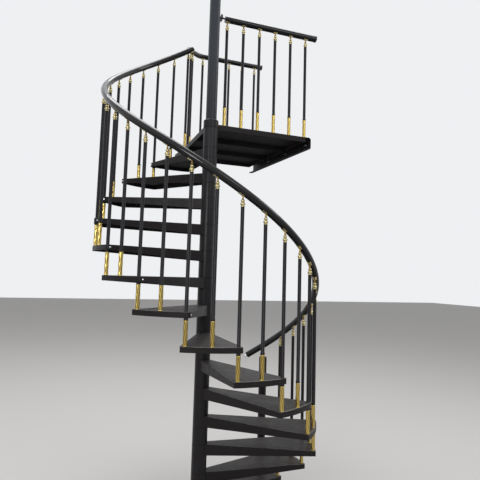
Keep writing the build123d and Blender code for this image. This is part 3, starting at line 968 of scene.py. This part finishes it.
# a plate bent round the rail's underside, lying along the rail's slope
def saddleForm(slope):
    restAll()
    rail = stair["railRadius"] + stair["railFit"]
    axis = stair["headHeight"] + stair["railRadius"] / math.cos(math.radians(slope))
    bpy.ops.mesh.primitive_cylinder_add(
        vertices=head["saddleSides"], radius=rail, depth=head["saddleLength"],
        end_fill_type="NOTHING", location=(0, 0, axis), rotation=(0, math.pi / 2, 0),
    )
    piece = bpy.context.object
    bpy.ops.object.transform_apply(location=True, rotation=True, scale=True)
    bpy.ops.object.mode_set(mode="EDIT")
    bpy.ops.mesh.select_mode(type="FACE")
    bpy.ops.mesh.select_all(action="DESELECT")
    shape = bmesh.from_edit_mesh(piece.data)
    reach = -rail * math.cos(math.radians(head["saddleSpread"]))
    for face in shape.faces:
        face.select_set(face.calc_center_median().z - axis > reach)
    bmesh.update_edit_mesh(piece.data)
    bpy.ops.mesh.delete(type="FACE")
    bpy.ops.mesh.select_all(action="SELECT")
    lean = math.radians(slope)
    bpy.ops.transform.rotate(value=lean, orient_axis="Y", center_override=(0, 0, axis))
    bpy.ops.mesh.select_mode(type="VERT")
    bpy.ops.object.mode_set(mode="OBJECT")
    wall = piece.modifiers.new("saddleWall", "SOLIDIFY")
    wall.thickness = head["saddleThickness"]
    wall.offset = 1
    bpy.ops.object.modifier_apply(modifier=wall.name)
    rounding = piece.modifiers.new("saddleEdges", "BEVEL")
    rounding.width = head["saddleEdge"]
    rounding.segments = softening["segments"]
    rounding.angle_limit = math.radians(head["saddleSharp"])
    bpy.ops.object.modifier_apply(modifier=rounding.name)
    return piece


def turnedHead(slope):
    profile = [(radius / 1000, height / 1000) for radius, height in head["profile"]]
    turned = turnedForm("headTurning", profile, head["sides"])
    markHollows(turned, *head["tarnishShadeReach"])
    saddle = saddleForm(slope)
    markHollows(saddle)
    return joined("turnedHead", [turned, saddle])


climbingHead = turnedHead(stair["railSlope"])
levelHead = turnedHead(0)
for flight, indices in flights.items():
    heads = [stair["newelStep"], *indices] if flight == "lower" else indices
    places = [headPlace(index) for index in heads]
    setOutGilt(climbingHead, flight + "Heads", "gold_connector", "connectors_" + flight, places)
headBase = stair["landingTop"] - stair["headHeight"]
places = [standing((x, y, headBase + height), heading) for x, y, height, heading in landingPosts]
setOutGilt(levelHead, "landingHeads", "gold_connector", "connectors_landing", places)
bpy.data.objects.remove(climbingHead)
bpy.data.objects.remove(levelHead)
print("heads turned")

# lower end of the rail: a black plug with a bright ball on a short neck
railEnd = {
    "step": -0.1,  # counted along the balusters
    "lip": 0.001,
    "plug": 0.004,
    "plugEdge": 0.0004,
    "neck": 0.006,
    "neckSeat": 0.6,  # share of the plug's thickness where the neck begins
    "ball": 0.0115,
    "ballRise": 0.017,
    "ballTurns": (*range(45, 166, 12), 174),  # degrees round from the neck
    "sides": 32,
}


def railEndPlace():
    angle = balusterAngle(railEnd["step"])
    slope = math.radians(stair["railSlope"])
    axis = railUnderside(railEnd["step"]) + stair["railRadius"] / math.cos(slope)
    turn = math.radians(angle)
    level = math.cos(slope)
    downhill = (-level * math.sin(turn), level * math.cos(turn), -math.sin(slope))
    return facingOut(onCircle(stair["circle"], angle, axis), downhill)


wide, thick, edge = stair["railRadius"] + railEnd["lip"], railEnd["plug"], railEnd["plugEdge"]
plugRings = [(wide - edge, 0), (wide, edge), (wide, thick / 2), (wide - thick / 2, thick)]
neck, ball, middle = railEnd["neck"], railEnd["ball"], thick + railEnd["ballRise"]
ballRings = [(neck, thick * railEnd["neckSeat"]), (neck, thick)]
for turn in railEnd["ballTurns"]:
    lean = math.radians(turn)
    ballRings.append((ball * math.sin(lean), middle - ball * math.cos(lean)))
for pieceName, rings, slotName, nodeNames in (
    ("railPlug", plugRings, "black_rail", ()),
    ("brightBall", ballRings, "bright_cap", ("rail_end_cap",)),
):
    piece = turnedForm(pieceName, rings, railEnd["sides"])
    piece.matrix_world = railEndPlace()
    takeUp(piece)
    bpy.ops.object.transform_apply(location=True, rotation=True, scale=True)
    smoothed(piece)
    handedOver(piece, slotName, *nodeNames)
print("rail end closed")

# small fixings: bright dome screws, hexagon bolts with washers, anchor nuts
fixings = {
    "domeShape": [  # radius and height as shares of the head's radius
        (1.35, 0), (1.4, 0.08), (1.35, 0.18), (1, 0.2), (0.97, 0.36), (0.82, 0.56), (0.5, 0.62),
    ],
    "domeTop": 0.16,
    "domeRise": 0.0002,
    "domeSides": 20,
    "smoothAngle": 30,
    "clampRadius": 0.797,
    "clampDome": 0.0046,
    "beamFirst": 0.085,
    "beamSpacing": 0.355,
    "beamCount": 3,
    "beamFace": 0.875,
    "beamDrop": 0.05,
    "anchorCircle": 0.095,
    "anchorCount": 4,
    "anchorTurn": 45,
    "anchorStud": 0.009,
    "plateTop": 0.012,
    "newelCircle": 0.0445,
    "newelCount": 3,
    "newelTurn": 30,
    "newelPlate": 0.008,
    "newelDome": 0.0055,
}
bolt = {  # reaches and heights of washer, nut and rod as shares of the width across the flats
    "across": 0.019,
    "washerReach": 0.64,
    "washerFlat": 0.61,
    "washerHeight": 0.0022,  # metres
    "washerEdge": 0.0004,  # metres
    "washerSides": 24,
    "nutHeight": 0.45,
    "chamferFrom": 0.82,  # share of the nut's height
    "chamferReach": 0.88,  # shares of the nut's corner reach
    "topReach": 0.56,
    "rodReach": 0.25,
    "rodFrom": 0.9,  # share of the nut's height
    "rodRidges": 5,
    "ridgeReach": 1.1,  # shares of the rod's reach
    "tipReach": 0.8,
    "rodSides": 16,
}


def domeScrew(radius):
    rings = [(radius * wide, radius * high) for wide, high in fixings["domeShape"]]
    rings.append((radius * fixings["domeTop"], rings[-1][1] + fixings["domeRise"]))
    screw = turnedForm("domeScrew", rings, fixings["domeSides"])
    smoothed(screw)
    return screw


# a washer, a hexagon with chamfered corners and the end of a threaded rod
def hexagonBolt(stud):
    across, base, edge = bolt["across"], bolt["washerHeight"], bolt["washerEdge"]
    wide, narrow = across * bolt["washerReach"], across * bolt["washerFlat"]
    washer = [(narrow, 0), (wide, edge), (wide, base - edge), (narrow, base)]
    tall, corner = across * bolt["nutHeight"], across / math.sqrt(3)
    top = base + tall
    nut = [
        (corner, base), (corner, base + tall * bolt["chamferFrom"]),
        (corner * bolt["chamferReach"], top), (corner * bolt["topReach"], top),
    ]
    parts = [turnedForm("washer", washer, bolt["washerSides"]), turnedForm("nut", nut, 6)]
    if stud:
        root, ridges = across * bolt["rodReach"], bolt["rodRidges"]
        rod = [(root, base + tall * bolt["rodFrom"])]
        for turn in range(ridges):  # thread seen as a few ridges
            low = top + stud * turn / ridges
            rod += [(root, low), (root * bolt["ridgeReach"], low + stud / ridges / 2)]
        rod.append((root * bolt["tipReach"], top + stud))
        parts.append(turnedForm("stud", rod, bolt["rodSides"]))
    return joined("hexagonBolt", parts)


def placeFixings(master, pieceName, places, finishName="bright_cap"):
    piece = joined(pieceName, setOut(master, places))
    smoothed(piece, fixings["smoothAngle"])
    bpy.data.objects.remove(master)
    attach(piece, "root")
    piece.data.materials.clear()
    piece.data.materials.append(finishes[finishName])


# upright places evenly round a circle about this centre
def ringPlaces(centre, name):
    count, circle = fixings[name + "Count"], fixings[name + "Circle"]
    angles = [fixings[name + "Turn"] + 360 / count * index for index in range(count)]
    return [facingOut(centre + onCircle(circle, angle, 0), (0, 0, 1)) for angle in angles]


clampPlaces = []
for number in treadNumbers[1:]:
    front = balusterAngle(2 * number - 2)
    outward = onCircle(1, front + 90, 0)
    height = stair["rise"] * number - stair["rimDepth"] / 2
    centre = onCircle(fixings["clampRadius"], front, height)
    clampPlaces.append(facingOut(centre + outward * stair["sideInset"], outward))
placeFixings(domeScrew(fixings["clampDome"]), "clampScrews", clampPlaces)
beamPlaces = []
for index in range(fixings["beamCount"]):
    along = fixings["beamFirst"] + fixings["beamSpacing"] * index
    height = stair["landingTop"] - fixings["beamDrop"]
    beamPlaces.append(facingOut((fixings["beamFace"], along, height), (-1, 0, 0)))
placeFixings(hexagonBolt(0), "wallBolts", beamPlaces, "zinc")
plateCentre = Vector((0, 0, fixings["plateTop"]))
anchorPlaces = ringPlaces(plateCentre, "anchor")
placeFixings(hexagonBolt(fixings["anchorStud"]), "floorAnchors", anchorPlaces, "zinc")
newelCentre = onCircle(stair["circle"], balusterAngle(stair["newelStep"]), fixings["newelPlate"])
placeFixings(domeScrew(fixings["newelDome"]), "newelScrews", ringPlaces(newelCentre, "newel"))
print("fixings placed")
